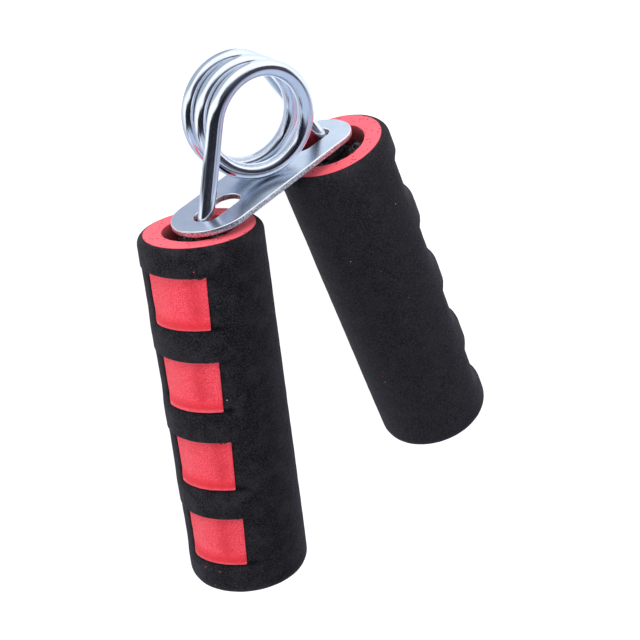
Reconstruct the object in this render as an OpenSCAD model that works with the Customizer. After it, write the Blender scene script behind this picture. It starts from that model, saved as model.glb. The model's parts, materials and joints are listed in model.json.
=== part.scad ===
// Hand grip strengthener: a torsion spring of round wire whose two legs run down into foam handles,
// with a stamped plate that ties the legs together above the handle mouths.
// It lies flat on both handles: +X across the handles, +Y along them towards the coil, +Z up.
// The origin is on the surface it lies on, in the middle of its length and width.

/* [Handles] */
// Length of each foam handle
handle_l = 95.6; // [90:0.2:105]
// Outer diameter of each foam handle
handle_d = 31; // [29:0.5:34]
// Angle of each handle away from the middle line
handle_splay = 9.2; // [8:0.2:11]
// Distance of each mouth's centre from the middle line
mouth_x = 23.2; // [22.8:0.1:24.5]
// Distance of each mouth's centre below the coil's axis
mouth_drop = 18.8; // [18.5:0.1:21]
// Thickness of the outer foam layer
skin_t = 1.7; // [1.3:0.1:2.4]
// Radius of the handle's rounded mouth edge
mouth_edge_r = 2.2; // [1.2:0.1:3]
// Radius of the handle's rounded bottom edge
bottom_edge_r = 3.5; // [2:0.5:6]
// Thickness of the closed foam bottom
bottom_t = 4; // [3:0.5:8]

/* [Finger windows] */
// Number of finger windows along each handle
window_n = 4; // [2:1:4]
// Distance from the mouth to the first window
window_start = 7.4; // [6:0.2:9]
// Distance from one window to the next
window_pitch = 21.8; // [20:0.2:22]
// Height of each window along the handle
window_h = 13.4; // [10:0.2:15]
// Angle that each window spans round the handle
window_span = 75; // [40:1:80]
// Turn of the left handle's windows from straight outwards, towards the top side
window_turn_left = 13.5; // [-40:0.5:40]
// Turn of the right handle's windows from straight outwards, towards the underside
window_turn_right = 1; // [-40:0.5:40]

/* [Handle cores] */
// Outer diameter of each plastic core
core_d = 18.4; // [16:0.2:20]
// Depth of the core's top below the handle mouth
core_recess = 6.5; // [6.2:0.1:9]
// Radial clearance of the wire in its bore
wire_fit = 0.05; // [0.01:0.01:0.1]
// Number of grip ribs round the core's top
core_rib_n = 12; // [6:1:16]
// Height of the grip ribs
core_rib_h = 1; // [0.5:0.1:1.2]

/* [Spring] */
// Wire diameter
wire_d = 4; // [3.8:0.1:4.2]
// Radius of the coil at the middle of the wire
coil_r = 13.1; // [12.8:0.1:13.2]
// Distance between the two legs along the coil's axis
leg_spread = 15.8; // [15:0.1:16.2]
// Angle of each leg away from the spring's middle line
leg_splay = 22.7; // [22:0.1:23.5]
// Turn of the spring about the middle line, from the plane of the handles
spring_turn = 14.2; // [13:0.2:15]
// Full turns that the legs' splay is taken from
coil_turns = 2.5; // [2.5:1:3.5]
// Depth of the leg's bend below the handle mouth
bend_depth = 3.4; // [3:0.1:3.6]
// Radius of the leg's bend at the middle of the wire
bend_r = 12; // [8:0.5:14]
// Length of each leg inside the handle, below its bend
leg_inside_l = 68; // [40:1:78]

/* [Plate] */
// Length of the plate
plate_l = 61.6; // [59:0.2:64]
// Width of the plate
plate_w = 20; // [18:0.2:21]
// Thickness of the plate
plate_t = 1.5; // [1.2:0.1:1.6]
// Distance of the plate's near face below the coil's axis
plate_drop = 15.3; // [15.2:0.1:15.8]
// Turn of the plate about the middle line, from the plane of the handles
plate_turn = 7.8; // [7.4:0.1:8.4]
// Width of each slot
slot_w = 7; // [6.8:0.1:7.6]
// Distance of each slot's inner end from the plate's middle
slot_in = 11.4; // [8:0.2:12]
// Distance of each slot's outer end from the plate's middle
slot_out = 25.6; // [25.6:0.1:26.4]

/* [Hidden] */

LEFT = -1;
RIGHT = 1;
handle_r = handle_d / 2;
wire_r = wire_d / 2;
core_r = core_d / 2;
inner_r = handle_r - skin_t;
cut = 0.5;

// Sides of the wire's section, rings for each turn of the coil, and steps round each leg's bend
wire_sides = 16;
rings_per_turn = 36;
bend_steps = 6;
coil_angle = coil_turns * 360 - 2 * leg_splay;
ring_n = round(coil_angle / 360 * rings_per_turn);
// Share of the wire over which the pitch eases in from a leg's plane
ease = 0.06;

// Highest point of the coil and lowest point of the handles, along the middle line from the coil's axis
top_y = coil_r + wire_r;
bottom_y = -mouth_drop - (handle_l - bottom_edge_r) * cos(handle_splay)
    - (handle_r - bottom_edge_r) * sin(handle_splay) - bottom_edge_r;
coil_y = -(top_y + bottom_y) / 2;

function unit(v) = v / norm(v);
function turned(v, a) = [v[0] * cos(a) + v[1] * sin(a), -v[0] * sin(a) + v[1] * cos(a), v[2]];

// The coil's axis, in the frame of the handles' plane
coil_axis = turned([0, 1, 0], spring_turn);

// Leg of one side, in the frame of the handles' plane: x across, y to the back, z towards the coil
function leg_dir(side) = turned([side * sin(leg_splay), 0, -cos(leg_splay)], spring_turn);
function leg_top(side) = turned([side * coil_r * cos(leg_splay), side * leg_spread / 2,
                                 coil_r * sin(leg_splay)], spring_turn);
function handle_dir(side) = [side * sin(handle_splay), 0, -cos(handle_splay)];
function mouth(side) = [side * mouth_x, 0, -mouth_drop];
// Length of the straight leg from the coil to the point where the bend's two straight lines cross
function leg_out(side) = (bend_depth - (leg_top(side) - mouth(side)) * handle_dir(side))
    / (leg_dir(side) * handle_dir(side));
function bend_point(side) = leg_top(side) + leg_out(side) * leg_dir(side);
function bend_angle(side) = acos(leg_dir(side) * handle_dir(side));
function bend_tangent(side) = bend_r * tan(bend_angle(side) / 2);
// Where the wire's line lies in the handle: offsets from the handle's axis
function bore_offset(side) = bend_point(side) - mouth(side)
    - ((bend_point(side) - mouth(side)) * handle_dir(side)) * handle_dir(side);

// The frame of the handles' plane, laid flat
module laid_flat() translate([0, coil_y, handle_r]) rotate([-90, 0, 0]) children();
// A handle's frame: +Z out of the mouth, +X outwards from the middle line
module handle_frame(side)
    laid_flat() translate(mouth(side)) rotate([0, 0, side < 0 ? 180 : 0]) rotate([0, -handle_splay, 0])
        children();
// A line's frame: +Z along the line
module along(dir) rotate([0, acos(dir[2]), atan2(dir[1], dir[0])]) children();

// Round wire swept along its points: each ring stands across the wire's direction there
function wire_ring(point, dir) = let (u = unit(cross(coil_axis, dir)), v = cross(dir, u))
    [for (j = [0 : wire_sides - 1])
        let (b = 360 * (j + 0.5) / wire_sides) point + wire_r * (cos(b) * u + sin(b) * v)];
module wire(points, dirs) {
    last = len(points) - 1;
    rings = [for (i = [0 : last]) each wire_ring(points[i], dirs[i])];
    walls = [for (i = [0 : last - 1], j = [0 : wire_sides - 1])
        let (a = i * wire_sides + j, b = i * wire_sides + (j + 1) % wire_sides)
        [a, a + wire_sides, b + wire_sides, b]];
    start_cap = [for (j = [0 : wire_sides - 1]) j];
    end_cap = [for (j = [wire_sides - 1 : -1 : 0]) last * wire_sides + j];
    color("lightsteelblue") laid_flat() polyhedron(rings, concat(walls, [start_cap, end_cap]));
}

// Coil: its pitch eases in from the plane of each leg
function eased(t) = t < ease ? t * t / (2 * ease) / (1 - ease)
    : t > 1 - ease ? 1 - (1 - t) * (1 - t) / (2 * ease) / (1 - ease)
    : (t - ease / 2) / (1 - ease);
function coil_point(t) = let (a = 180 - leg_splay - t * coil_angle)
    turned([coil_r * cos(a), (eased(t) - 0.5) * leg_spread, coil_r * sin(a)], spring_turn);
// The wire's direction at each end is the leg's, because the pitch is nothing there
function coil_dir(i) = i == 0 ? -leg_dir(LEFT) : i == ring_n ? leg_dir(RIGHT)
    : unit(coil_point((i + 1) / ring_n) - coil_point((i - 1) / ring_n));
module spring_coil()
    wire([for (i = [0 : ring_n]) coil_point(i / ring_n)], [for (i = [0 : ring_n]) coil_dir(i)]);

// Leg: straight from the coil, one bend in the handle's mouth, then along the handle
module spring_leg(side) {
    ld = leg_dir(side);
    hd = handle_dir(side);
    inward = unit(hd - (hd * ld) * ld);
    centre = bend_point(side) - bend_tangent(side) * ld + bend_r * inward;
    turns = [for (i = [0 : bend_steps]) i * bend_angle(side) / bend_steps];
    wire(concat([leg_top(side)], [for (a = turns) centre + bend_r * (sin(a) * ld - cos(a) * inward)],
                [bend_point(side) + (bend_tangent(side) + leg_inside_l) * hd]),
         concat([ld], [for (a = turns) cos(a) * ld + sin(a) * inward], [hd]));
}

// Plate: stadium outline with two slots in line, one for each leg
module slot_outline(x0, x1, w) {
    translate([x0 + w / 2, -w / 2]) square([x1 - x0 - w, w]);
    for (x = [x0 + w / 2, x1 - w / 2]) translate([x, 0]) circle(d = w, $fn = 64);
}
module retainer_plate() {
    color("silver") laid_flat() rotate([0, 0, plate_turn]) translate([0, 0, -plate_drop - plate_t])
        linear_extrude(plate_t) difference() {
            slot_outline(-plate_l / 2, plate_l / 2, plate_w);
            slot_outline(slot_in, slot_out, slot_w);
            slot_outline(-slot_out, -slot_in, slot_w);
        }
}

// Core: plastic plug with the wire's bore and grip ribs round its top
module core(side) {
    depth = handle_l - bottom_t;
    bore = bore_offset(side);
    color("dimgray") difference() {
        handle_frame(side) {
            translate([0, 0, -depth]) cylinder(r = core_r, h = depth - core_recess - core_rib_h, $fn = 96);
            for (i = [0 : core_rib_n - 1]) rotate([0, 0, i * 360 / core_rib_n])
                translate([core_r * 0.6, -0.5, -core_recess - core_rib_h - cut])
                    cube([core_r * 0.36, 1, core_rib_h + cut]);
        }
        laid_flat() translate(bend_point(side)) along(handle_dir(side))
            cylinder(r = wire_r + wire_fit, h = bend_tangent(side) + leg_inside_l + wire_fit, $fn = 48);
    }
}

// Foam tube from the mouth down to a closed bottom, with rounded outer edges
module foam_profile(r, l, top_r, low_r) {
    difference() {
        translate([0, -l]) square([r, l]);
        translate([r - top_r, -top_r]) square([top_r + cut, top_r + cut]);
        translate([r - low_r, -l - cut]) square([low_r + cut, low_r + cut]);
    }
    intersection() {
        translate([r - top_r, -top_r]) circle(r = top_r, $fn = 48);
        translate([0, -l]) square([r, l]);
    }
    intersection() {
        translate([r - low_r, low_r - l]) circle(r = low_r, $fn = 48);
        translate([0, -l]) square([r, l]);
    }
}
module inner_foam(side)
    color("indianred") handle_frame(side) difference() {
        translate([0, 0, -(handle_l - bottom_t)]) cylinder(r = inner_r, h = handle_l - bottom_t, $fn = 96);
        translate([0, 0, -handle_l]) cylinder(r = core_r, h = handle_l + cut, $fn = 96);
    }
module finger_window(i)
    translate([0, 0, -window_start - i * window_pitch - window_h])
        rotate([0, 0, -window_span / 2]) rotate_extrude(angle = window_span, $fn = 96)
            translate([inner_r - cut, 0]) square([skin_t + 2 * cut, window_h]);
module outer_foam(side, turn)
    color("#2b2b2e") handle_frame(side) difference() {
        rotate_extrude($fn = 96) foam_profile(handle_r, handle_l, mouth_edge_r, bottom_edge_r);
        translate([0, 0, -(handle_l - bottom_t)]) cylinder(r = inner_r, h = handle_l, $fn = 96);
        rotate([0, 0, turn]) for (i = [0 : window_n - 1]) finger_window(i);
    }

spring_coil();
spring_leg(LEFT);  // spring_leg_left
spring_leg(RIGHT);  // spring_leg_right
retainer_plate();
core(LEFT);  // core_left
core(RIGHT);  // core_right
inner_foam(LEFT);  // inner_foam_left
inner_foam(RIGHT);  // inner_foam_right
outer_foam(LEFT, window_turn_left);  // outer_foam_left
outer_foam(RIGHT, window_turn_right);  // outer_foam_right
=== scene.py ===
"""Looks of a hand grip strengthener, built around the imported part.

The part lies flat on its two handles: +X across them, +Y along them towards the coil, +Z up.
Pieces are drawn in millimetres in a frame of their own (Place) and put into the part's frame in metres.
"""
import json
import math

import bpy
import numpy as np
from mathutils import Matrix, Vector, noise
from mathutils.geometry import delaunay_2d_cdt


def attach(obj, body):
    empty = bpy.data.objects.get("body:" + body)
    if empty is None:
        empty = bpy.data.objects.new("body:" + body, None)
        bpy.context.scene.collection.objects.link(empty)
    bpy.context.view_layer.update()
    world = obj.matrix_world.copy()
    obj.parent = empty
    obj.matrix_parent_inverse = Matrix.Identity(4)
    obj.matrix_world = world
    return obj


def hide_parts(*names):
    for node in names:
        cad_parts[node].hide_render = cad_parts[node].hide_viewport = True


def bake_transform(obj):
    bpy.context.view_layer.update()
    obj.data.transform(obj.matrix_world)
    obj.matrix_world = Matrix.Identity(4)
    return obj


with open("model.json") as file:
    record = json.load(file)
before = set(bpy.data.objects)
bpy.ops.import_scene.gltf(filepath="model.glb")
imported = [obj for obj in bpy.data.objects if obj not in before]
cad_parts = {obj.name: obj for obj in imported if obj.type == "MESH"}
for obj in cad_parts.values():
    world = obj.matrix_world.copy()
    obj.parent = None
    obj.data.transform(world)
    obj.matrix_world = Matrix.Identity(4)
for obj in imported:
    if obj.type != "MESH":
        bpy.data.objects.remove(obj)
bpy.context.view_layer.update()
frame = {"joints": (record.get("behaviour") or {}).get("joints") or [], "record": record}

MM = 0.001
LEFT, RIGHT = -1, 1
SIDES = {LEFT: "left", RIGHT: "right"}

# Handles: a black foam layer with finger windows over a red foam tube, mm
HANDLE_L = 95.6
HANDLE_R = 15.5
SKIN_T = 1.7
INNER_R = HANDLE_R - SKIN_T
MOUTH_EDGE_R = 2.2
BOTTOM_EDGE_R = 3.5
BOTTOM_T = 4.0
BOTTOM_BULGE = 0.35
BORE_R = 9.2
CORE_FIT = 0.12
CORE_FOLDS_DEPTH = 3.9

# Finger windows, mm and degrees: the red foam in them lies a step below the black foam
WINDOW_N = 4
WINDOW_START = 7.4
WINDOW_PITCH = 21.8
WINDOW_H = 13.4
WINDOW_SPAN = 75.0
WINDOW_HALF_W = math.radians(WINDOW_SPAN / 2) * HANDLE_R
WINDOW_TURN = {LEFT: 13.5, RIGHT: 1.0}
WINDOW_STEP = 0.22
WINDOW_GAP = 0.03
WINDOW_CORNER_R = (0.35, 0.3, 0.45, 3.8)

# Groove that each window lies in: where it fades out round the handle (degrees from the window's
# middle), and where it starts and ends down the handle (mm from the window's top)
GROOVE_DEPTH = 1.95
GROOVE_SIDES = {LEFT: (22.0, 62.0), RIGHT: (31.0, 72.0)}
GROOVE_TOP = (-0.7, 1.1)
GROOVE_BOTTOM = (10.0, 15.6)

# Creases that run on from a window's top and bottom edge, mm
CREASE_DEPTH = 0.22
CREASE_W = 0.6
CREASES_AT = (0.3, WINDOW_H - 0.2)

# Outside of the black foam, by its length from the mouth: a rounded mouth edge that starts at an
# angle where the red foam ends, the straight side, and a rounded bottom edge, mm
MOUTH_START = math.asin((INNER_R - HANDLE_R + MOUTH_EDGE_R) / MOUTH_EDGE_R)
MOUTH_EDGE_L = MOUTH_EDGE_R * (math.pi / 2 - MOUTH_START)
STRAIGHT_L = HANDLE_L - MOUTH_EDGE_R - BOTTOM_EDGE_R
BOTTOM_EDGE_L = BOTTOM_EDGE_R * math.pi / 2

# Spring, mm and degrees
WIRE_R = 2.0
COIL_R = 13.1
COIL_TURNS = 2.5
LEG_SPREAD = 15.8
LEG_SPLAY = math.radians(22.7)
PITCH_EASE = 0.06
BEND_DEPTH = 3.4
BEND_R = 12.0
LEG_INSIDE_L = 68.0
WIRE_STEP = 0.6
WIRE_SMOOTH = 1.6

# Plate, mm and degrees
PLATE_L = 61.6
PLATE_W = 20.0
PLATE_T = 1.5
PLATE_DROP = 15.3
PLATE_TURN = math.radians(7.8)
SLOT_W = 7.0
SLOT_IN = 11.4
SLOT_OUT = 25.6
PLATE_GRID = 0.9

# Side of the plate from top to bottom: how far in (mm) and how high (share of the thickness)
PLATE_SIDE = [(0.60, 1.0), (0.36, 1.0), (0.24, 0.992), (0.14, 0.968), (0.06, 0.92), (0.02, 0.86),
              (0.0, 0.78), (0.0, 0.70), (0.0, 0.61), (0.0, 0.52), (0.0, 0.43), (0.0, 0.34),
              (0.0, 0.25), (0.0, 0.16), (0.03, 0.08), (0.1, 0.02), (0.22, 0.0)]
PLATE_ROLLED_TO = 0.99
PLATE_SHEARED_FROM = 0.85
PLATE_TORN_FROM = 0.75


# ---------------------------------------------------------------- frames

class Place:
    """A local frame in millimetres: its origin and its three axes, in the part's frame."""

    def __init__(self, origin, y_axis, z_axis):
        self.origin = np.array(origin, float)
        y = np.array(y_axis, float)
        z = np.array(z_axis, float)
        self.axes = np.array([np.cross(y, z), y, z])

    def to_part(self, points):
        """Local points in mm, as points of the part in metres."""
        return (np.asarray(points, float) @ self.axes + self.origin) * MM

    def to_local(self, points):
        """Points of the part in mm, as local points in mm."""
        return (np.asarray(points, float) - self.origin) @ self.axes.T

    def turned_in(self, directions):
        """Directions of the part, as local directions."""
        return np.asarray(directions, float) @ self.axes.T


joints = {joint["name"]: joint for joint in frame["joints"]}
mounts = {mount["name"]: mount for mount in frame["record"]["mounts"]}
coil_centre = np.array(joints["squeeze"]["pos_m"]) / MM
coil_back = -np.array(joints["squeeze"]["axis"])
spring_place = Place(coil_centre, coil_back, (0, 1, 0))


def handle_place(side):
    """A handle's frame: origin in the mouth, +X away from the other handle, +Z out of the mouth."""
    face = mounts[SIDES[side] + "_end_face"]
    out = -np.array(face["axis"])
    return Place(np.array(face["pos_m"]) / MM + out * HANDLE_L, (0, 0, -side), out)


# ---------------------------------------------------------------- small tools

def smoothstep(start, end, x):
    t = np.clip((x - start) / (end - start), 0, 1)
    return t * t * (3 - 2 * t)


def unit(v):
    return v / np.linalg.norm(v)


def unit_rows(v):
    return v / np.linalg.norm(v, axis=1)[:, None]


def on_plane(flat, height=0.0):
    """Flat points, as points in space at one height."""
    return np.column_stack([flat, np.full(len(flat), height)])


def noise_at(points, size, shift=0.0):
    """Smooth noise from -1 to 1 at each point, for lumps of that size."""
    return np.array([noise.noise(Vector(p) / size + Vector((shift, 2 * shift, -shift)))
                     for p in points])


class Skin:
    """Points and faces of one closed mesh, in a local frame in mm."""

    def __init__(self):
        self.points = []
        self.faces = []

    def add(self, points):
        first = len(self.points)
        self.points.extend(np.asarray(points, float).tolist())
        return np.arange(first, len(self.points))

    def face(self, *corners):
        self.faces.append([int(c) for c in corners])

    def bridge(self, a, b, closed=True):
        """Quads between two rows of points."""
        n = len(a)
        for i in range(n if closed else n - 1):
            j = (i + 1) % n
            self.face(a[i], a[j], b[j], b[i])

    def fan(self, loop, centre):
        middle = self.add([centre])[0]
        for i in range(len(loop)):
            self.face(loop[i], loop[(i + 1) % len(loop)], middle)

    def to_object(self, name, place, sharp_angle=40):
        mesh = bpy.data.meshes.new(name)
        mesh.from_pydata(place.to_part(self.points).tolist(), [], self.faces)
        mesh.validate()
        mesh.shade_smooth()
        mesh.set_sharp_from_angle(angle=math.radians(sharp_angle))
        piece = bpy.data.objects.new(name, mesh)
        bpy.context.scene.collection.objects.link(piece)
        return piece


def mark_points(piece, name, values, first=0):
    """Gives the piece's points, from the first one on, values that its material can read."""
    marks = np.zeros(len(piece.data.vertices), np.float32)
    marks[first:first + len(values)] = values
    piece.data.attributes.new(name, "FLOAT", "POINT").data.foreach_set("value", marks)


def triangles(points, loops):
    """Triangulates flat points so that each closed loop of indices is kept as edges."""
    edges = [(loop[i], loop[(i + 1) % len(loop)]) for loop in loops for i in range(len(loop))]
    flat, _, faces, _, _, _ = delaunay_2d_cdt([Vector(p) for p in points], edges, [], 0, 1e-7, False)
    return np.array([tuple(p) for p in flat]), np.array([tuple(f) for f in faces])


def inside(points, outline):
    """Which of the points lie inside a closed outline."""
    x, y = points[:, 0], points[:, 1]
    found = np.zeros(len(points), bool)
    for (x0, y0), (x1, y1) in zip(outline, np.roll(outline, -1, axis=0)):
        if y0 != y1:
            crosses = (y0 > y) != (y1 > y)
            found ^= crosses & (x < (x1 - x0) * (y - y0) / (y1 - y0) + x0)
    return found


def distance_to(points, outline):
    """Distance from each point to a closed outline."""
    best = np.full(len(points), np.inf)
    for a, b in zip(outline, np.roll(outline, -1, axis=0)):
        ab = b - a
        t = np.clip((points - a) @ ab / max(ab @ ab, 1e-12), 0, 1)
        best = np.minimum(best, np.linalg.norm(points - a - t[:, None] * ab, axis=1))
    return best


# ---------------------------------------------------------------- spring

def leg_bend(side):
    """Where the straight leg would meet its line in the handle, with the directions of both."""
    handle = handle_place(side)
    down = np.array([side * math.sin(LEG_SPLAY), 0, -math.cos(LEG_SPLAY)])
    top = np.array([side * COIL_R * math.cos(LEG_SPLAY), side * LEG_SPREAD / 2,
                    COIL_R * math.sin(LEG_SPLAY)])
    into = spring_place.turned_in(-handle.axes[2])
    mouth = spring_place.to_local(handle.origin)
    bend = top + (BEND_DEPTH - (top - mouth) @ into) / (down @ into) * down
    return top, bend, down, into


def leg_path(side):
    """Points of one leg, from the coil down into its handle."""
    top, bend, down, into = leg_bend(side)
    angle = math.acos(down @ into)
    tangent = BEND_R * math.tan(angle / 2)
    inward = unit(into - (into @ down) * down)
    centre = bend - tangent * down + BEND_R * inward
    points = [top + s * (bend - tangent * down - top) for s in np.linspace(0, 1, 24)[:-1]]
    points += [centre + BEND_R * (math.sin(a) * down - math.cos(a) * inward)
               for a in np.linspace(0, angle, 14)]
    return points + [bend + (tangent + LEG_INSIDE_L) * into]


def coil_path(points_per_turn=160):
    """Points of the coil, from the left leg to the right leg."""
    turn = COIL_TURNS * 2 * math.pi - 2 * LEG_SPLAY

    def eased(t):
        if t < PITCH_EASE:
            return t * t / (2 * PITCH_EASE) / (1 - PITCH_EASE)
        if t > 1 - PITCH_EASE:
            return 1 - (1 - t) ** 2 / (2 * PITCH_EASE) / (1 - PITCH_EASE)
        return (t - PITCH_EASE / 2) / (1 - PITCH_EASE)

    def point(t):
        a = math.pi - LEG_SPLAY - t * turn
        return np.array([COIL_R * math.cos(a), (eased(t) - 0.5) * LEG_SPREAD, COIL_R * math.sin(a)])

    return [point(t) for t in np.linspace(0, 1, round(turn / (2 * math.pi) * points_per_turn))[1:-1]]


def smoothed(path):
    """Runs a weighted average along the path twice, so that its bends keep their radius."""
    reach = int(3 * WIRE_SMOOTH / WIRE_STEP)
    weights = np.exp(-0.5 * (np.arange(-reach, reach + 1) * WIRE_STEP / WIRE_SMOOTH) ** 2)
    weights /= weights.sum()

    def average(points):
        before = 2 * points[0] - points[reach:0:-1]
        after = 2 * points[-1] - points[-2:-reach - 2:-1]
        longer = np.vstack([before, points, after])
        return np.column_stack([np.convolve(longer[:, k], weights, "valid") for k in range(3)])

    once = average(path)
    return 2 * once - average(once)


def make_spring(sides=40):
    corners = np.array(leg_path(LEFT)[::-1] + coil_path() + leg_path(RIGHT))
    length = np.concatenate([[0], np.cumsum(np.linalg.norm(np.diff(corners, axis=0), axis=1))])
    at = np.linspace(0, length[-1], round(length[-1] / WIRE_STEP))
    path = smoothed(np.column_stack([np.interp(at, length, corners[:, k]) for k in range(3)]))
    skin = Skin()
    turns = np.linspace(0, 2 * math.pi, sides, endpoint=False)[:, None]
    rows = []
    for point, direction in zip(path, unit_rows(np.gradient(path, axis=0))):
        u = unit(np.cross((0, 1, 0), direction))
        v = np.cross(direction, u)
        rows.append(skin.add(point + WIRE_R * (np.cos(turns) * u + np.sin(turns) * v)))
    for a, b in zip(rows, rows[1:]):
        skin.bridge(a, b)
    skin.face(*rows[0][::-1])
    skin.face(*rows[-1])
    return skin.to_object("spring", spring_place)


# ---------------------------------------------------------------- plate

def stadium(x0, x1, radius, spacing=0.35):
    """Outline between two half circles whose outer ends are at x0 and x1; anticlockwise."""
    a, b = x0 + radius, x1 - radius
    arc_n = max(8, round(math.pi * radius / spacing))
    line_n = max(2, round((b - a) / spacing))
    points = [(b + radius * math.sin(t), -radius * math.cos(t))
              for t in np.linspace(0, math.pi, arc_n, endpoint=False)]
    points += [(x, radius) for x in np.linspace(b, a, line_n, endpoint=False)]
    points += [(a - radius * math.sin(t), radius * math.cos(t))
               for t in np.linspace(0, math.pi, arc_n, endpoint=False)]
    points += [(x, -radius) for x in np.linspace(a, b, line_n, endpoint=False)]
    return np.array(points)


def rim(base, radius, d):
    """The outline base with its half circles' radius changed by d."""
    out = base.copy()
    centre_x = np.clip(base[:, 0], base[:, 0].min() + radius, base[:, 0].max() - radius)
    out[:, 0] = centre_x + (base[:, 0] - centre_x) * (radius + d) / radius
    out[:, 1] = base[:, 1] * (radius + d) / radius
    return out


def plate_side(skin, base, radius, sign):
    """Rows of points down one edge of the plate; the sign is 1 on a slot and -1 on the outside."""
    rows = []
    for inset, height in PLATE_SIDE:
        flat = rim(base, radius, sign * inset)
        points = on_plane(flat, height * PLATE_T)
        if height < PLATE_TORN_FROM:
            rough = 0.07 * noise_at(points, 0.45) + 0.04 * noise_at(points, 1.6, 7)
            centre_x = np.clip(flat[:, 0], base[:, 0].min() + radius, base[:, 0].max() - radius)
            away = unit_rows(flat - np.column_stack([centre_x, np.zeros(len(flat))]))
            points[:, :2] += away * (rough - 0.03 * sign)[:, None]
        rows.append(skin.add(points))
    for upper, lower in zip(rows, rows[1:]):
        if sign < 0:
            skin.bridge(lower, upper)
        else:
            skin.bridge(upper, lower)
    return rows


def plate_face(skin, loops, up):
    """Closes the plate's top or bottom between its outer loop and the loops of its slots."""
    ids = [int(i) for loop in loops for i in loop]
    points = [skin.points[i] for i in ids]
    starts = np.cumsum([0] + [len(loop) for loop in loops])
    index_loops = [list(range(start, end)) for start, end in zip(starts, starts[1:])]
    edges = [np.array([skin.points[i][:2] for i in loop]) for loop in loops]
    outer, *slots = edges

    def on_plate(flat):
        return inside(flat, outer) & ~np.any([inside(flat, slot) for slot in slots], axis=0)

    grid = np.array([(x, y) for x in np.arange(-PLATE_L / 2, PLATE_L / 2, PLATE_GRID)
                     for y in np.arange(-PLATE_W / 2, PLATE_W / 2, PLATE_GRID)])
    grid = grid[on_plate(grid)]
    to_edge = np.min([distance_to(grid, edge) for edge in edges], axis=0)
    clear = to_edge > PLATE_GRID / 2
    grid, to_edge = grid[clear], to_edge[clear]
    wave = 0.012 * noise_at(on_plane(grid), 9) * smoothstep(0.0, 3.0, to_edge)
    ids += [int(i) for i in skin.add(np.column_stack([grid, points[0][2] + wave]))]
    flat, faces = triangles([p[:2] for p in points] + grid.tolist(), index_loops)
    for corners in faces[on_plate(flat[faces].mean(axis=1))]:
        corners = [ids[c] for c in corners]
        skin.face(*(corners if up else corners[::-1]))


def make_plate():
    """Stamped plate: rolled upper edge, a smooth sheared band, and a rough torn band below it."""
    place = Place(coil_centre - (0, PLATE_DROP + PLATE_T, 0),
                  (-math.sin(PLATE_TURN), 0, -math.cos(PLATE_TURN)), (0, 1, 0))
    skin = Skin()
    sides = [plate_side(skin, stadium(start, end, width / 2), width / 2, sign)
             for start, end, width, sign in ((-PLATE_L / 2, PLATE_L / 2, PLATE_W, -1),
                                             (SLOT_IN, SLOT_OUT, SLOT_W, 1),
                                             (-SLOT_OUT, -SLOT_IN, SLOT_W, 1))]
    heights = np.concatenate([np.full(len(row), height)
                              for rows in sides for row, (_, height) in zip(rows, PLATE_SIDE)])
    plate_face(skin, [rows[0] for rows in sides], True)
    plate_face(skin, [rows[-1] for rows in sides], False)
    piece = skin.to_object("plate", place, sharp_angle=50)
    mark_points(piece, "sheared", heights < PLATE_SHEARED_FROM)
    # Rows of the rolled edge, which the plate's material paints with a highlight
    mark_points(piece, "rolled", (heights > PLATE_SHEARED_FROM) & (heights < PLATE_ROLLED_TO))
    return piece


# ---------------------------------------------------------------- foam

def groove_depth(side, turn, down):
    """Depth of the finger grooves at an angle from the windows' middle, this far down the handle."""
    across = 1 - smoothstep(*GROOVE_SIDES[side], np.abs(turn))
    along = np.zeros_like(down)
    for i in range(WINDOW_N):
        s = down - WINDOW_START - i * WINDOW_PITCH
        along += smoothstep(*GROOVE_TOP, s) * (1 - smoothstep(*GROOVE_BOTTOM, s))
    return GROOVE_DEPTH * across * along


def rounded_outline(corners, radii, spacing):
    """Closed outline through the corners, each rounded by its radius, in even steps."""
    path = []
    n = len(corners)
    for i, (corner, radius) in enumerate(zip(corners, radii)):
        corner = np.array(corner, float)
        to_last = unit(np.array(corners[i - 1]) - corner)
        to_next = unit(np.array(corners[(i + 1) % n]) - corner)
        half = math.acos(to_last @ to_next) / 2
        reach = radius / math.tan(half)
        centre = corner + unit(to_last + to_next) * radius / math.sin(half)
        a, b = corner + to_last * reach - centre, corner + to_next * reach - centre
        for t in np.linspace(0, 1, 9):
            path.append(centre + radius * unit((1 - t) * a + t * b))
    path = np.array(path)
    length = np.linalg.norm(np.roll(path, -1, axis=0) - path, axis=1)
    total = np.concatenate([[0], np.cumsum(length)])
    at = np.linspace(0, total[-1], round(total[-1] / spacing), endpoint=False)
    closed = np.vstack([path, path[:1]])
    return np.column_stack([np.interp(at, total, closed[:, k]) for k in (0, 1)])


def outward(outline):
    """Outward direction at each point of a closed outline that runs with its inside on the left."""
    along = np.roll(outline, -1, axis=0) - np.roll(outline, 1, axis=0)
    return unit_rows(np.column_stack([along[:, 1], -along[:, 0]]))


def window_outline(i, seed, spacing=0.28):
    """One window, unrolled: x round the handle from the windows' middle, y down from the mouth.

    Its edge is a little ragged, with tufts of torn foam that hang from its top near one corner.
    """
    top = WINDOW_START + i * WINDOW_PITCH
    corners = [(-WINDOW_HALF_W, top), (WINDOW_HALF_W + 0.3, top + 0.1),
               (WINDOW_HALF_W - 0.45, top + WINDOW_H), (-WINDOW_HALF_W, top + WINDOW_H)]
    outline = rounded_outline(corners, WINDOW_CORNER_R, spacing)
    from_corner = corners[1][0] - outline[:, 0]
    tuft = np.exp(-((from_corner - 2.4) / 1.7) ** 2) * (outline[:, 1] < top + 0.5)
    flat = on_plane(outline)
    ragged = (0.05 + 0.1 * tuft) * noise_at(flat, 0.9, seed + i)
    ragged -= 2.6 * tuft * np.clip(noise_at(flat, 0.4, seed + 3.3 * i) - 0.05, 0, 1)
    return outline + outward(outline) * ragged[:, None]


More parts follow.
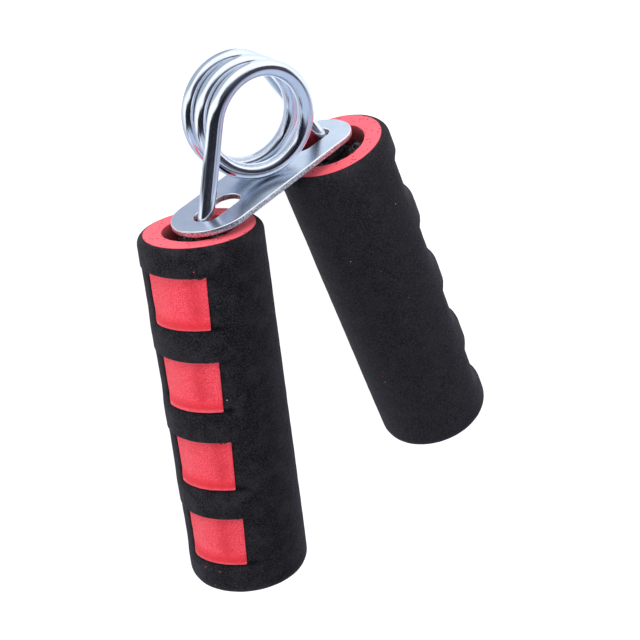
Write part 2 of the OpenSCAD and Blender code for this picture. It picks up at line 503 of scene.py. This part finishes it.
def near_outline(points, outline, margin):
    """Which points lie in an outline's bounding box, widened by the margin."""
    low, high = outline.min(axis=0) - margin, outline.max(axis=0) + margin
    return np.flatnonzero(np.all((points > low) & (points < high), axis=1))


def edge_distance(points, outlines, margin):
    """Distance from each point to the nearest outline; endless where none is within the margin."""
    best = np.full(len(points), np.inf)
    for outline in outlines:
        close = near_outline(points, outline, margin)
        best[close] = np.minimum(best[close], distance_to(points[close], outline))
    return best


def strip(height, outlines, spacing):
    """Triangles of a strip that wraps once round the handle, with the outlines among their edges.

    Returns the flat points, the faces, and the points of the upper and lower edge in order.
    """
    half = math.pi * HANDLE_R
    xs = np.linspace(-half, half, round(2 * half / spacing) + 1)
    ys = np.linspace(0, height, round(height / spacing) + 1)
    border = ([(x, 0) for x in xs[:-1]] + [(half, y) for y in ys[:-1]]
              + [(x, height) for x in xs[:0:-1]] + [(-half, y) for y in ys[:0:-1]])
    kept = [np.array(border)] + outlines
    starts = np.cumsum([0] + [len(loop) for loop in kept])
    loops = [list(range(start, end)) for start, end in zip(starts, starts[1:])]
    # Rows of a triangular grid fill the rest, clear of the outlines
    grid = np.array([(x + (spacing / 2 if j % 2 else 0), y)
                     for j, y in enumerate(np.arange(spacing * 0.8, height - spacing * 0.5,
                                                     spacing * 0.87))
                     for x in np.arange(-half + spacing * 0.7, half - spacing * 0.9, spacing)])
    clear = edge_distance(grid, outlines, 1) > 0.55 * spacing
    flat, faces = triangles(np.vstack(kept + [grid[clear]]).tolist(), loops)
    # The two sides of the cut along the handle are one line of points
    on_right = np.flatnonzero(flat[:, 0] > half - 1e-5)
    on_left = np.flatnonzero(flat[:, 0] < -half + 1e-5)
    same = np.arange(len(flat))
    same[on_right[np.argsort(flat[on_right, 1])]] = on_left[np.argsort(flat[on_left, 1])]
    faces = same[faces]
    used = np.unique(faces)
    renumber = np.zeros(len(flat), int)
    renumber[used] = np.arange(len(used))
    flat, faces = flat[used], renumber[faces]
    upper = np.flatnonzero(flat[:, 1] < 1e-5)
    lower = np.flatnonzero(flat[:, 1] > height - 1e-5)
    return flat, faces, upper[np.argsort(flat[upper, 0])], lower[np.argsort(flat[lower, 0])]


def open_edges(faces):
    """Edges that only one face uses, each in the direction that the face runs."""
    found = {}
    for face in faces:
        for a, b in zip(face, np.roll(face, -1)):
            key = (min(a, b), max(a, b))
            found[key] = None if key in found else (a, b)
    return [edge for edge in found.values() if edge]


def round_handle(angle, radius, z):
    """Points round the handle's axis; the radius and z are numbers or one value for each angle."""
    ones = np.ones(len(angle))
    return np.column_stack([radius * np.cos(angle), radius * np.sin(angle), z * ones])


def foam_lumps(points, seed):
    """Slow unevenness of cut and moulded foam, mm."""
    return 0.10 * noise_at(points, 11, seed) + 0.05 * noise_at(points, 3.2, seed + 5)


def foam_seed(side):
    return 10.0 + 7 * side


def crease_lines(degrees, down):
    """How strongly a crease runs through each point, 0 to 1: only beside the windows' right ends."""
    end = WINDOW_SPAN / 2
    fade = smoothstep(end - 2, end, degrees) * (1 - smoothstep(end + 4, end + 15, degrees))
    lines = np.zeros(len(down))
    for i in range(WINDOW_N):
        for at in CREASES_AT:
            below = down - WINDOW_START - i * WINDOW_PITCH - at
            lines += fade * np.exp(-(below / CREASE_W) ** 2)
    return lines


def close_bottom(skin, loop, angle, radius, z, lump_seed=None):
    """Closes a ring at the handle's foot. Only the outside, which has a lump seed, is uneven."""
    outside = lump_seed is not None
    for share in (0.88, 0.74, 0.6, 0.45, 0.3, 0.15):
        ring = round_handle(angle, radius * share, z)
        if outside:
            ring[:, 2] += -BOTTOM_BULGE * (1 - share) + foam_lumps(ring, lump_seed) * 1.5
        row = skin.add(ring)
        if outside:
            skin.bridge(loop, row)
        else:
            skin.bridge(row, loop)
        loop = row
    if outside:
        skin.fan(loop, (0, 0, z - BOTTOM_BULGE))
    else:
        skin.fan(loop[::-1], (0, 0, z))


def make_outer_foam(side, spacing=0.55):
    """Black layer: a closed cup of foam with four windows cut through it."""
    seed = foam_seed(side)
    # Windows are given by their depth below the mouth: this is the same depth along the outside
    shift = MOUTH_EDGE_L - MOUTH_EDGE_R
    outlines = [window_outline(i, seed) + (0, shift) for i in range(WINDOW_N)]
    flat, faces, _, lower = strip(MOUTH_EDGE_L + STRAIGHT_L + BOTTOM_EDGE_L, outlines, spacing)
    middles = flat[faces].mean(axis=1)
    faces = faces[~np.any([inside(middles, outline) for outline in outlines], axis=0)]

    # Outside of the cup, with its outward direction, before it is pressed in or lumpy
    y = flat[:, 1]
    a = MOUTH_START + np.clip(y, 0, MOUTH_EDGE_L) / MOUTH_EDGE_R
    b = np.clip(y - MOUTH_EDGE_L - STRAIGHT_L, 0, BOTTOM_EDGE_L) / BOTTOM_EDGE_R
    radius = HANDLE_R - MOUTH_EDGE_R * (1 - np.sin(a)) - BOTTOM_EDGE_R * (1 - np.cos(b))
    down = (MOUTH_EDGE_R * (1 - np.cos(a)) + np.clip(y - MOUTH_EDGE_L, 0, STRAIGHT_L)
            + BOTTOM_EDGE_R * np.sin(b))
    out_r, out_z = np.sin(a) * np.cos(b), np.cos(a) - np.sin(b)
    degrees = np.degrees(flat[:, 0] / HANDLE_R)
    angle = flat[:, 0] / HANDLE_R + math.radians(WINDOW_TURN[side])
    base = round_handle(angle, radius, -down)

    groove = groove_depth(side, degrees, down)
    edge = edge_distance(flat, outlines, 3)
    crease = crease_lines(degrees, down)
    pressed = groove + 0.14 * np.exp(-(edge / 0.45) ** 2) + CREASE_DEPTH * crease
    grow = foam_lumps(base, seed) * smoothstep(0, 1.5, y) - pressed
    outer = base + round_handle(angle, out_r * grow, out_z * grow)

    straight_to = HANDLE_L - BOTTOM_EDGE_R
    inner_down = np.where(down > straight_to, HANDLE_L - BOTTOM_T,
                          down * (HANDLE_L - BOTTOM_T) / straight_to)
    inner_down = np.maximum(inner_down, 0.35 + 0.9 * inner_down * (inner_down < 3.5))
    inner_radius = np.where(down > straight_to, INNER_R * radius / HANDLE_R, INNER_R - groove)
    inner = round_handle(angle, inner_radius, -inner_down)

    skin = Skin()
    out_ids = skin.add(outer)
    in_ids = skin.add(inner)
    for face in faces:
        skin.face(*out_ids[face])
        skin.face(*in_ids[face][::-1])
    low_set = set(lower.tolist())
    for p, q in open_edges(faces):
        if not (p in low_set and q in low_set):
            skin.face(out_ids[q], out_ids[p], in_ids[p], in_ids[q])
    close_bottom(skin, out_ids[lower], angle[lower], radius[lower][0], -HANDLE_L, seed)
    close_bottom(skin, in_ids[lower], angle[lower], inner_radius[lower][0], BOTTOM_T - HANDLE_L)
    piece = skin.to_object(SIDES[side] + "_black_foam", handle_place(side), sharp_angle=60)
    # Painted shade: near black in the creases and along the windows' edges
    mark_points(piece, "crease", np.maximum(crease, 0.8 * np.exp(-(edge / 0.35) ** 2)))
    return piece


def add_mouth(skin, last, angle, seed):
    """The red tube's cut face, from the row at its outer edge to the lip of the bore."""
    lip = 0.14 * noise_at(round_handle(angle, BORE_R, 0), 1.6, seed)
    outer_r = INNER_R - 0.02
    for share in (1.0, 0.97, 0.88, 0.74, 0.6, 0.45, 0.3, 0.18, 0.1, 0.05, 0.02):
        drop = 0.05 * (1 - smoothstep(0, 0.1, share)) + 0.03 * smoothstep(0.9, 1.0, share)
        ring = round_handle(angle, BORE_R + (outer_r - BORE_R) * share + lip * (1 - share), -drop)
        ring[:, 2] += 0.05 * noise_at(ring, 4, seed) + 0.02 * noise_at(ring, 0.9, seed)
        row = skin.add(ring)
        skin.bridge(row, last)
        last = row
    return last, lip


def add_bore(skin, last, angle, lip, length, seed):
    """The red tube's bore, from its lip down. Returns the last row and a painted shade for each point,
    which grows down the bore.
    """
    shades = []
    for depth in (0.15, 0.4, 0.9, 1.6, 2.6, 4.0, 6.0, 9.0, 30.0, 60.0, length):
        wall = round_handle(angle, BORE_R + lip * math.exp(-depth / 2.5), -depth)
        wall[:, :2] *= 1 + 0.006 * noise_at(wall, 2.2, seed)[:, None]
        row = skin.add(wall)
        skin.bridge(row, last)
        last = row
        shades += [smoothstep(-0.2, 3.0, depth)] * len(row)
    return last, shades


def make_inner_foam(side, spacing=0.6):
    """Red tube: it stands up inside each window of the black layer, almost flush with it."""
    seed = foam_seed(side)
    length = HANDLE_L - BOTTOM_T - 0.1
    outlines = [window_outline(i, seed) for i in range(WINDOW_N)]
    raised_outlines = [outline - outward(outline) * WINDOW_GAP for outline in outlines]
    flat, faces, upper, lower = strip(length, outlines + raised_outlines, spacing)
    degrees = np.degrees(flat[:, 0] / HANDLE_R)
    angle = flat[:, 0] / HANDLE_R + math.radians(WINDOW_TURN[side])
    down = flat[:, 1]
    in_window = (down - WINDOW_START) % WINDOW_PITCH

    edge = edge_distance(flat, outlines, 0)
    raised = np.zeros(len(flat), bool)
    for outline in outlines:
        close = near_outline(flat, outline, 0)
        raised[close] = inside(flat[close], outline)
    raised &= edge > WINDOW_GAP / 3
    groove = groove_depth(side, degrees, down)
    step = WINDOW_STEP * (1 - 0.8 * smoothstep(WINDOW_H - 2.5, WINDOW_H - 0.2, in_window))
    base = round_handle(angle, HANDLE_R, -down)
    lumps = foam_lumps(base, seed) + 0.03 * noise_at(base, 1.3, seed)
    high = HANDLE_R - groove - step + lumps - 0.10 * np.exp(-(edge / 0.3) ** 2)
    radius = np.where(raised, high, INNER_R - 0.1 - groove)

    skin = Skin()
    ids = skin.add(round_handle(angle, radius, -down))
    for face in faces:
        skin.face(*ids[face])
    last, lip = add_mouth(skin, ids[upper], angle[upper], seed)
    bore_from = last[-1] + 1
    last, shades = add_bore(skin, last, angle[upper], lip, length, seed)
    skin.bridge(ids[lower], last)
    piece = skin.to_object(SIDES[side] + "_red_foam", handle_place(side), sharp_angle=50)

    # Painted shade on the bore's wall, darker further down
    mark_points(piece, "inside", shades, bore_from)
    mark_points(piece, "cut_face", np.ones(bore_from - len(flat)), len(flat))
    # Painted shade in each window: a soft darker band down it and a darker foot along its bottom
    band = np.exp(-((degrees - 19 - 5 * np.cos((down - 14) / 7)) / 8) ** 2)
    foot = smoothstep(WINDOW_H - 3.2, WINDOW_H - 0.9, in_window)
    mark_points(piece, "painted_window_shade", np.maximum(band * (0.35 + 0.25 * in_window / WINDOW_H), 0.75 * foot))
    # Painted highlight along each window's bottom edge, where the foam turns up to the light
    mark_points(piece, "window_edge_highlight", np.exp(-((in_window - WINDOW_H + 0.2) / 0.16) ** 2))
    return piece


def make_core(side, columns=180):
    """Plastic plug in the handle: its top is softened plastic, folded and pinched round the wire."""
    seed = 3.0 + side
    handle = handle_place(side)
    wire_at = handle.to_local(spring_place.to_part(leg_bend(side)[1]) / MM)[:2]
    angle = np.linspace(0, 2 * math.pi, columns, endpoint=False)
    outer_r = BORE_R - CORE_FIT
    skin = Skin()
    rows = [skin.add(round_handle(angle, outer_r, z))
            for z in np.linspace(BOTTOM_T - HANDLE_L + 0.2, -CORE_FOLDS_DEPTH - 3.0, 8)]
    for share in np.linspace(1.0, 0.02, 44):
        ring = round_handle(angle, share * outer_r, 0)
        ring[:, :2] += wire_at * (1 - share)
        away = np.linalg.norm(ring[:, :2] - wire_at, axis=1)
        swirl = np.column_stack([ring[:, :2], 2.0 * np.sin(3 * angle)])
        folds = 1 - np.abs(noise_at(swirl, 2.6, seed)) * 2.4
        small = 1 - np.abs(noise_at(swirl, 1.0, seed + 4)) * 2
        height = 1.5 * folds + 0.45 * small - 2.2 * smoothstep(0.86, 1.0, share)
        height -= 1.6 * np.exp(-((away - WIRE_R) / 1.3) ** 2)
        ring[:, 2] = -CORE_FOLDS_DEPTH + height - 1.4
        rows.append(skin.add(ring))
    for a, b in zip(rows, rows[1:]):
        skin.bridge(a, b)
    skin.face(*rows[0][::-1])
    skin.face(*rows[-1])
    return skin.to_object(SIDES[side] + "_core", handle, sharp_angle=60)


# ---------------------------------------------------------------- materials

def add(tree, kind, inputs=None, **props):
    """A shader node with its settings and inputs: an input is a value or another node's output."""
    node = tree.nodes.new(kind)
    for name, value in props.items():
        setattr(node, name, value)
    for key, value in (inputs or {}).items():
        if isinstance(value, bpy.types.NodeSocket):
            tree.links.new(value, node.inputs[key])
        else:
            node.inputs[key].default_value = value
    return node


def new_material(name, **inputs):
    """A material with its Principled shader's inputs set; _ in a name stands for a space."""
    material = bpy.data.materials.new(name)
    material.use_nodes = True
    tree = material.node_tree
    shader = tree.nodes["Principled BSDF"]
    for key, value in inputs.items():
        shader.inputs[key.replace("_", " ")].default_value = value
    place = add(tree, "ShaderNodeTexCoord").outputs["Object"]
    return material, tree, shader, place


def drive(tree, shader, colour, normal, roughness=None):
    """Links the shader's inputs that change over the surface."""
    tree.links.new(colour, shader.inputs["Base Color"])
    tree.links.new(normal, shader.inputs["Normal"])
    if roughness:
        tree.links.new(roughness, shader.inputs["Roughness"])


def noise_node(tree, place, size_mm, detail=3.0, roughness=0.55):
    return add(tree, "ShaderNodeTexNoise",
               {"Vector": place, "Scale": 1 / (size_mm * MM), "Detail": detail,
                "Roughness": roughness}).outputs["Fac"]


def grain_node(tree, place, size_mm):
    """Fine, rough noise for the grain of foam and the flecks of zinc."""
    return noise_node(tree, place, size_mm, 4, 0.7)


def marked(tree, name):
    """A value that mark_points gave to the points."""
    return add(tree, "ShaderNodeAttribute", attribute_name=name).outputs["Fac"]


def blend_colour(tree, factor, a, b):
    mix = add(tree, "ShaderNodeMix", {0: factor, 6: a, 7: b}, data_type="RGBA")
    return mix.outputs[2]


def spread(tree, value, low, high, to_low=0.0, to_high=1.0):
    """Maps low..high to to_low..to_high, held at both ends."""
    return add(tree, "ShaderNodeMapRange", {"Value": value, "From Min": low, "From Max": high,
                                            "To Min": to_low, "To Max": to_high},
               clamp=True).outputs["Result"]


def math_node(tree, operation, *values):
    return add(tree, "ShaderNodeMath", dict(enumerate(values)), operation=operation).outputs[0]


def times(tree, a, b):
    return math_node(tree, "MULTIPLY", a, b)


def specks(tree, place, cell_mm, radius_mm, share):
    """Small round specks: one in each chosen cell."""
    cells = add(tree, "ShaderNodeTexVoronoi", {"Vector": place, "Scale": 1 / (cell_mm * MM)})
    dot = math_node(tree, "LESS_THAN", cells.outputs["Distance"], radius_mm / cell_mm)
    pick = add(tree, "ShaderNodeSeparateColor", {"Color": cells.outputs["Color"]}).outputs["Red"]
    return times(tree, dot, math_node(tree, "LESS_THAN", pick, share))


def bump(tree, height, distance_mm, strength=1.0, normal=None):
    inputs = {"Height": height, "Strength": strength, "Distance": distance_mm * MM}
    if normal:
        inputs["Normal"] = normal
    return add(tree, "ShaderNodeBump", inputs).outputs["Normal"]


def black_foam(name, darkest, lightest):
    """Black foam with worn patches, grey lint and red dust, and painted shade, near black, in its
    creases and along its windows' edges.
    """
    material, tree, shader, place = new_material(
        name, Roughness=0.92, Sheen_Weight=0.06, Sheen_Roughness=0.45,
        Sheen_Tint=(0.85, 0.78, 0.95, 1), Specular_IOR_Level=0.12)
    grain = grain_node(tree, place, 0.36)
    mottle = noise_node(tree, place, 4.5, 3, 0.6)
    dark, light = ((1.04 * grey, 0.96 * grey, 1.12 * grey, 1) for grey in (darkest, lightest))
    colour = blend_colour(tree, spread(tree, grain, 0.44, 0.66), dark, light)
    # The last tone is painted shade in the creases and along the windows' edges
    for factor, tone in ((spread(tree, mottle, 0.45, 0.75, 0.0, 0.5), (0.026, 0.024, 0.029, 1)),
                         (specks(tree, place, 4.4, 0.15, 0.5), (0.30, 0.30, 0.32, 1)),
                         (specks(tree, place, 6.0, 0.16, 0.45), (0.45, 0.03, 0.05, 1)),
                         (marked(tree, "crease"), (0.001, 0.001, 0.0012, 1))):
        colour = blend_colour(tree, factor, colour, tone)
    nap = bump(tree, grain, 0.18, 0.8)
    drive(tree, shader, colour, bump(tree, noise_node(tree, place, 1.4, 3), 0.16, 0.7, nap))
    return material


def red_foam():
    """Red foam: grained in the windows and cut with open pits at the mouth. Painted shade darkens a
    band and the foot of each window, the pits and the bore; a painted highlight lines each window's
    bottom edge.
    """
    material, tree, shader, place = new_material(
        "red_foam", Roughness=0.85, Sheen_Weight=0.15, Sheen_Roughness=0.5,
        Sheen_Tint=(1.0, 0.72, 0.76, 1), Specular_IOR_Level=0.25)
    grain = grain_node(tree, place, 0.30)
    cloud = noise_node(tree, place, 3.0, 3, 0.5)
    on_cut = marked(tree, "cut_face")
    stretched = add(tree, "ShaderNodeMapping", {"Vector": place, "Scale": (1.0, 0.25, 1.0)}).outputs[0]
    # Open pits in the cut face: dents with painted shade in them
    pits = times(tree, specks(tree, stretched, 1.2, 0.27, 0.6), on_cut)
    colour = blend_colour(tree, spread(tree, grain, 0.42, 0.62),
                          (0.44, 0.019, 0.031, 1), (0.70, 0.074, 0.104, 1))
    # Tones over the grain: a random cloud, painted shade on the windows, a painted highlight on their
    # bottom edges, a lighter red on the cut face, and painted shade in the bore and in the pits
    for factor, tone in ((spread(tree, cloud, 0.4, 0.7, 0.0, 0.3), (0.52, 0.026, 0.038, 1)),
                         (marked(tree, "painted_window_shade"), (0.38, 0.009, 0.016, 1)),
                         (marked(tree, "window_edge_highlight"), (0.70, 0.13, 0.17, 1)),
                         (on_cut, (0.86, 0.105, 0.140, 1)),
                         (marked(tree, "inside"), (0.16, 0.006, 0.010, 1)),
                         (pits, (0.30, 0.008, 0.014, 1))):
        colour = blend_colour(tree, factor, colour, tone)
    nap = bump(tree, grain, 0.16, 0.8)
    drive(tree, shader, colour, bump(tree, pits, -0.2, 0.9, nap))
    return material


def zinc_wire():
    material, tree, shader, place = new_material("zinc_wire", Metallic=1.0)
    cloud = noise_node(tree, place, 6.0, 3, 0.5)
    fleck = grain_node(tree, place, 0.30)
    colour = blend_colour(tree, spread(tree, cloud, 0.35, 0.65),
                          (0.80, 0.85, 0.93, 1), (0.87, 0.91, 0.97, 1))
    drive(tree, shader, colour, bump(tree, fleck, 0.014, 0.5),
          spread(tree, fleck, 0.35, 0.75, 0.10, 0.22))
    return material


def zinc_plate():
    """Satin zinc with small dents, a painted highlight along its rolled edge, and a rough torn side."""
    material, tree, shader, place = new_material("zinc_plate", Metallic=1.0)
    cloud = noise_node(tree, place, 7.0, 3, 0.5)
    fleck = grain_node(tree, place, 0.35)
    sheared = marked(tree, "sheared")
    face = blend_colour(tree, spread(tree, cloud, 0.35, 0.65),
                        (0.58, 0.65, 0.75, 1), (0.66, 0.72, 0.81, 1))
    torn = blend_colour(tree, spread(tree, grain_node(tree, place, 0.5), 0.42, 0.6),
                        (0.34, 0.35, 0.38, 1), (0.90, 0.92, 0.95, 1))
    # The rolled edge's rows are pure white: a painted highlight
    colour = blend_colour(tree, marked(tree, "rolled"), blend_colour(tree, sheared, face, torn),
                          (1.0, 1.0, 1.0, 1))
    dents = specks(tree, place, 4.0, 0.28, 0.25)
    satin = spread(tree, fleck, 0.3, 0.75, 0.22, 0.28)
    drive(tree, shader, colour, bump(tree, dents, -0.05, 0.5, bump(tree, fleck, 0.004, 0.4)),
          math_node(tree, "ADD", satin, times(tree, sheared, 0.22)))
    return material


def core_plastic():
    material, tree, shader, place = new_material("core_plastic", Roughness=0.14,
                                                 Specular_IOR_Level=0.7)
    cloud = noise_node(tree, place, 2.0, 3, 0.5)
    colour = blend_colour(tree, cloud, (0.006, 0.006, 0.007, 1), (0.020, 0.019, 0.021, 1))
    drive(tree, shader, colour, bump(tree, noise_node(tree, place, 0.8, 3), 0.08, 0.5))
    return material


# ---------------------------------------------------------------- pieces

wire, steel, plastic, red = zinc_wire(), zinc_plate(), core_plastic(), red_foam()
# The right sleeve is the lighter black: the two sleeves are one foam, made lighter on the right and
# darker on the left as painted light and shade for the light that reaches each. The right sleeve is
# the lighter black, whether from its foam or from its light
black = {LEFT: black_foam("black_foam_left", 0.0014, 0.0220),
         RIGHT: black_foam("black_foam_right", 0.0070, 0.0350)}

spring = make_spring()
spring.data.materials.append(wire)
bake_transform(spring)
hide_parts("spring_coil", "spring_leg_left", "spring_leg_right")

plate = make_plate()
plate.data.materials.append(steel)
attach(plate, "plate")
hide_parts("retainer_plate")

for side, name in SIDES.items():
    body = name + "_handle"
    core = make_core(side)
    inner = make_inner_foam(side)
    outer = make_outer_foam(side)
    for piece, material, node, slot in ((core, plastic, "core_", "core"),
                                        (inner, red, "inner_foam_", "inner_foam"),
                                        (outer, black[side], "outer_foam_", "outer_foam")):
        piece.data.materials.append(material)
        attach(piece, body)
        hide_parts(node + name)


# ---------------------------------------------------------------- floor, light and camera

# Where the camera stands: round from straight in front, up, and turned about its own line of sight
CAMERA_AZIMUTH = math.radians(227.95)
CAMERA_ELEVATION = math.radians(43.38)
CAMERA_ROLL = math.radians(107.0)
CAMERA_DISTANCE = 0.387
CAMERA_TARGET = Vector((0.0053, -0.0117, 0.0155))
CAMERA_LENS = 82.0

FLOOR_HALF = 4.0
CARD_HALF = 3.0
CARD_HEIGHT = 0.0004
# Middle of the wire that faces the camera, from the coil's centre, mm: the card is drawn as seen
# from there, so that its panels meet the world's
CARD_SEEN_FROM = (-8.0, -4.0, 2.0)

STUDIO_WHITE = (1.15, 1.17, 1.23, 1)
# Panels round the studio, from the camera's own direction at the start: left, right, bottom and top
# of each in degrees, softness of its edge in degrees, and its colour. Later ones lie on earlier ones.
STUDIO_PANELS = (
    ((-260, -95, -90, 90), 12, (0.57, 0.62, 0.74, 1)),
    ((-260, -60, 36, 95), 9, (0.45, 0.51, 0.59, 1)),
    ((110, 260, 8, 95), 10, (0.95, 1.03, 1.13, 1)),
    ((-260, 260, -95, -38), 5, (0.51, 0.61, 0.80, 1)),
    ((56, 150, -38, 0), 7, (0.47, 0.50, 0.66, 1)),
    ((-15, 45, 6, 28), 9, (0.30, 0.33, 0.39, 1)),
    ((-20, 60, 0, 18), 5, (0.07, 0.075, 0.10, 1)),
    ((-10, 56, -10, 10), 6, (0.06, 0.065, 0.09, 1)),
    ((-66, 56, -39, -4), 4, (0.014, 0.014, 0.022, 1)),
    ((-94, -64, -26, -10), 5, (0.05, 0.055, 0.07, 1)),
    ((46, 88, -22, 20), 4, (0.05, 0.05, 0.07, 1)),
)

# Softboxes: direction from the part, distance, side and power
SOFTBOXES = {"key": ((-0.28, 0.80, 0.53), 0.6, 0.30, 2.4),
             "front": ((-0.65, 0.15, 0.75), 0.7, 0.40, 1.3),
             "side": ((-0.97, 0.20, 0.03), 0.6, 0.08, 1.9)}
LIT_HEIGHT = 0.015


def flat_sheet(name, half, height):
    """A square sheet that lies level."""
    mesh = bpy.data.meshes.new(name)
    mesh.from_pydata([(x * half, y * half, height) for x, y in ((-1, -1), (1, -1), (1, 1), (-1, 1))],
                     [], [(0, 1, 2, 3)])
    sheet = bpy.data.objects.new(name, mesh)
    bpy.context.scene.collection.objects.link(sheet)
    return sheet


def make_floor():
    """A white light table: it glows, takes the other lights, and is clear from below."""
    material, tree, shader, _ = new_material(
        "floor_white", Base_Color=(0.30, 0.30, 0.30, 1), Roughness=0.9, Specular_IOR_Level=0.1,
        Emission_Color=(1, 1, 1, 1), Emission_Strength=0.94)
    from_below = add(tree, "ShaderNodeNewGeometry").outputs["Backfacing"]
    clear = add(tree, "ShaderNodeBsdfTransparent").outputs[0]
    one_sided = add(tree, "ShaderNodeMixShader", {0: from_below, 1: shader.outputs[0], 2: clear})
    tree.links.new(one_sided.outputs[0], tree.nodes["Material Output"].inputs["Surface"])
    floor = flat_sheet("floor", FLOOR_HALF, 0)
    floor.data.materials.append(material)


def camera_axes():
    """Right, up and back of the camera."""
    back = Vector((math.sin(CAMERA_AZIMUTH) * math.cos(CAMERA_ELEVATION),
                   -math.cos(CAMERA_AZIMUTH) * math.cos(CAMERA_ELEVATION), math.sin(CAMERA_ELEVATION)))
    level = Vector((0, 0, 1)).cross(back).normalized()
    right = math.cos(CAMERA_ROLL) * level + math.sin(CAMERA_ROLL) * back.cross(level)
    return right, back.cross(right), back


def make_camera():
    right, up, back = camera_axes()
    data = bpy.data.cameras.new("camera")
    data.lens = CAMERA_LENS
    data.clip_start, data.clip_end = 0.01, 20
    camera = bpy.data.objects.new("camera", data)
    turn = Matrix((right, up, back)).transposed().to_4x4()
    camera.matrix_world = Matrix.Translation(CAMERA_TARGET + CAMERA_DISTANCE * back) @ turn
    bpy.context.scene.collection.objects.link(camera)
    bpy.context.scene.camera = camera


def softbox(name, direction, distance, size, power):
    """A square area light that faces the part."""
    data = bpy.data.lights.new(name, "AREA")
    data.shape = "SQUARE"
    data.size = size
    data.energy = power
    light = bpy.data.objects.new(name, data)
    away = Vector(direction).normalized()
    light.location = Vector((0, 0, LIT_HEIGHT)) + distance * away
    light.rotation_euler = away.to_track_quat("Z", "Y").to_euler()
    light.visible_camera = False
    light.visible_glossy = False
    bpy.context.scene.collection.objects.link(light)


def studio_tone(tree, looking):
    """Colour of the studio in a direction: white, with panels that draw stripes in the metal."""
    def along(axis):
        return add(tree, "ShaderNodeVectorMath", {0: looking, 1: tuple(axis)},
                   operation="DOT_PRODUCT").outputs["Value"]

    def within(value, low, high, soft):
        low, high, soft = math.radians(low), math.radians(high), math.radians(soft)
        return times(tree, spread(tree, value, low - soft, low + soft),
                     spread(tree, value, high - soft, high + soft, 1, 0))

    right, up, back = camera_axes()
    turn = math_node(tree, "ARCTAN2", along(right), along(back))
    height = math_node(tree, "ARCSINE", along(up))
    colour = STUDIO_WHITE
    for (left, right_end, low, high), soft, tone in STUDIO_PANELS:
        panel = times(tree, within(turn, left, right_end, soft),
                      within(height, low, high, soft * 0.6))
        colour = blend_colour(tree, panel, colour, tone)
    return colour


def make_world():
    """The studio all round, behind a plain white backdrop."""
    world = bpy.data.worlds.new("studio")
    bpy.context.scene.world = world
    world.use_nodes = True
    tree = world.node_tree
    tree.nodes.clear()
    looking = add(tree, "ShaderNodeTexCoord").outputs["Generated"]
    backdrop = add(tree, "ShaderNodeLightPath").outputs["Is Camera Ray"]
    colour = blend_colour(tree, backdrop, studio_tone(tree, looking), (1, 1, 1, 1))
    background = add(tree, "ShaderNodeBackground", {"Color": colour})
    output = add(tree, "ShaderNodeOutputWorld")
    tree.links.new(background.outputs[0], output.inputs["Surface"])


def make_card():
    """A sheet on the floor that only shows in the metal: there it carries on the studio's panels."""
    material = bpy.data.materials.new("card_panels")
    material.use_nodes = True
    tree = material.node_tree
    tree.nodes.clear()
    place = add(tree, "ShaderNodeTexCoord").outputs["Object"]
    seen_from = tuple((coil_centre + CARD_SEEN_FROM) * MM)
    away = add(tree, "ShaderNodeVectorMath", {0: place, 1: seen_from}, operation="SUBTRACT").outputs[0]
    looking = add(tree, "ShaderNodeVectorMath", {0: away}, operation="NORMALIZE").outputs[0]
    glow = add(tree, "ShaderNodeEmission", {"Color": studio_tone(tree, looking)})
    output = add(tree, "ShaderNodeOutputMaterial")
    tree.links.new(glow.outputs[0], output.inputs["Surface"])
    card = flat_sheet("panel_card", CARD_HALF, CARD_HEIGHT)
    card.data.materials.append(material)
    for ray in ("camera", "diffuse", "shadow", "transmission", "volume_scatter"):
        setattr(card, "visible_" + ray, False)


make_card()
make_floor()
make_camera()
make_world()
for name, settings in SOFTBOXES.items():
    softbox(name, *settings)
bpy.context.scene.view_settings.view_transform = "Standard"
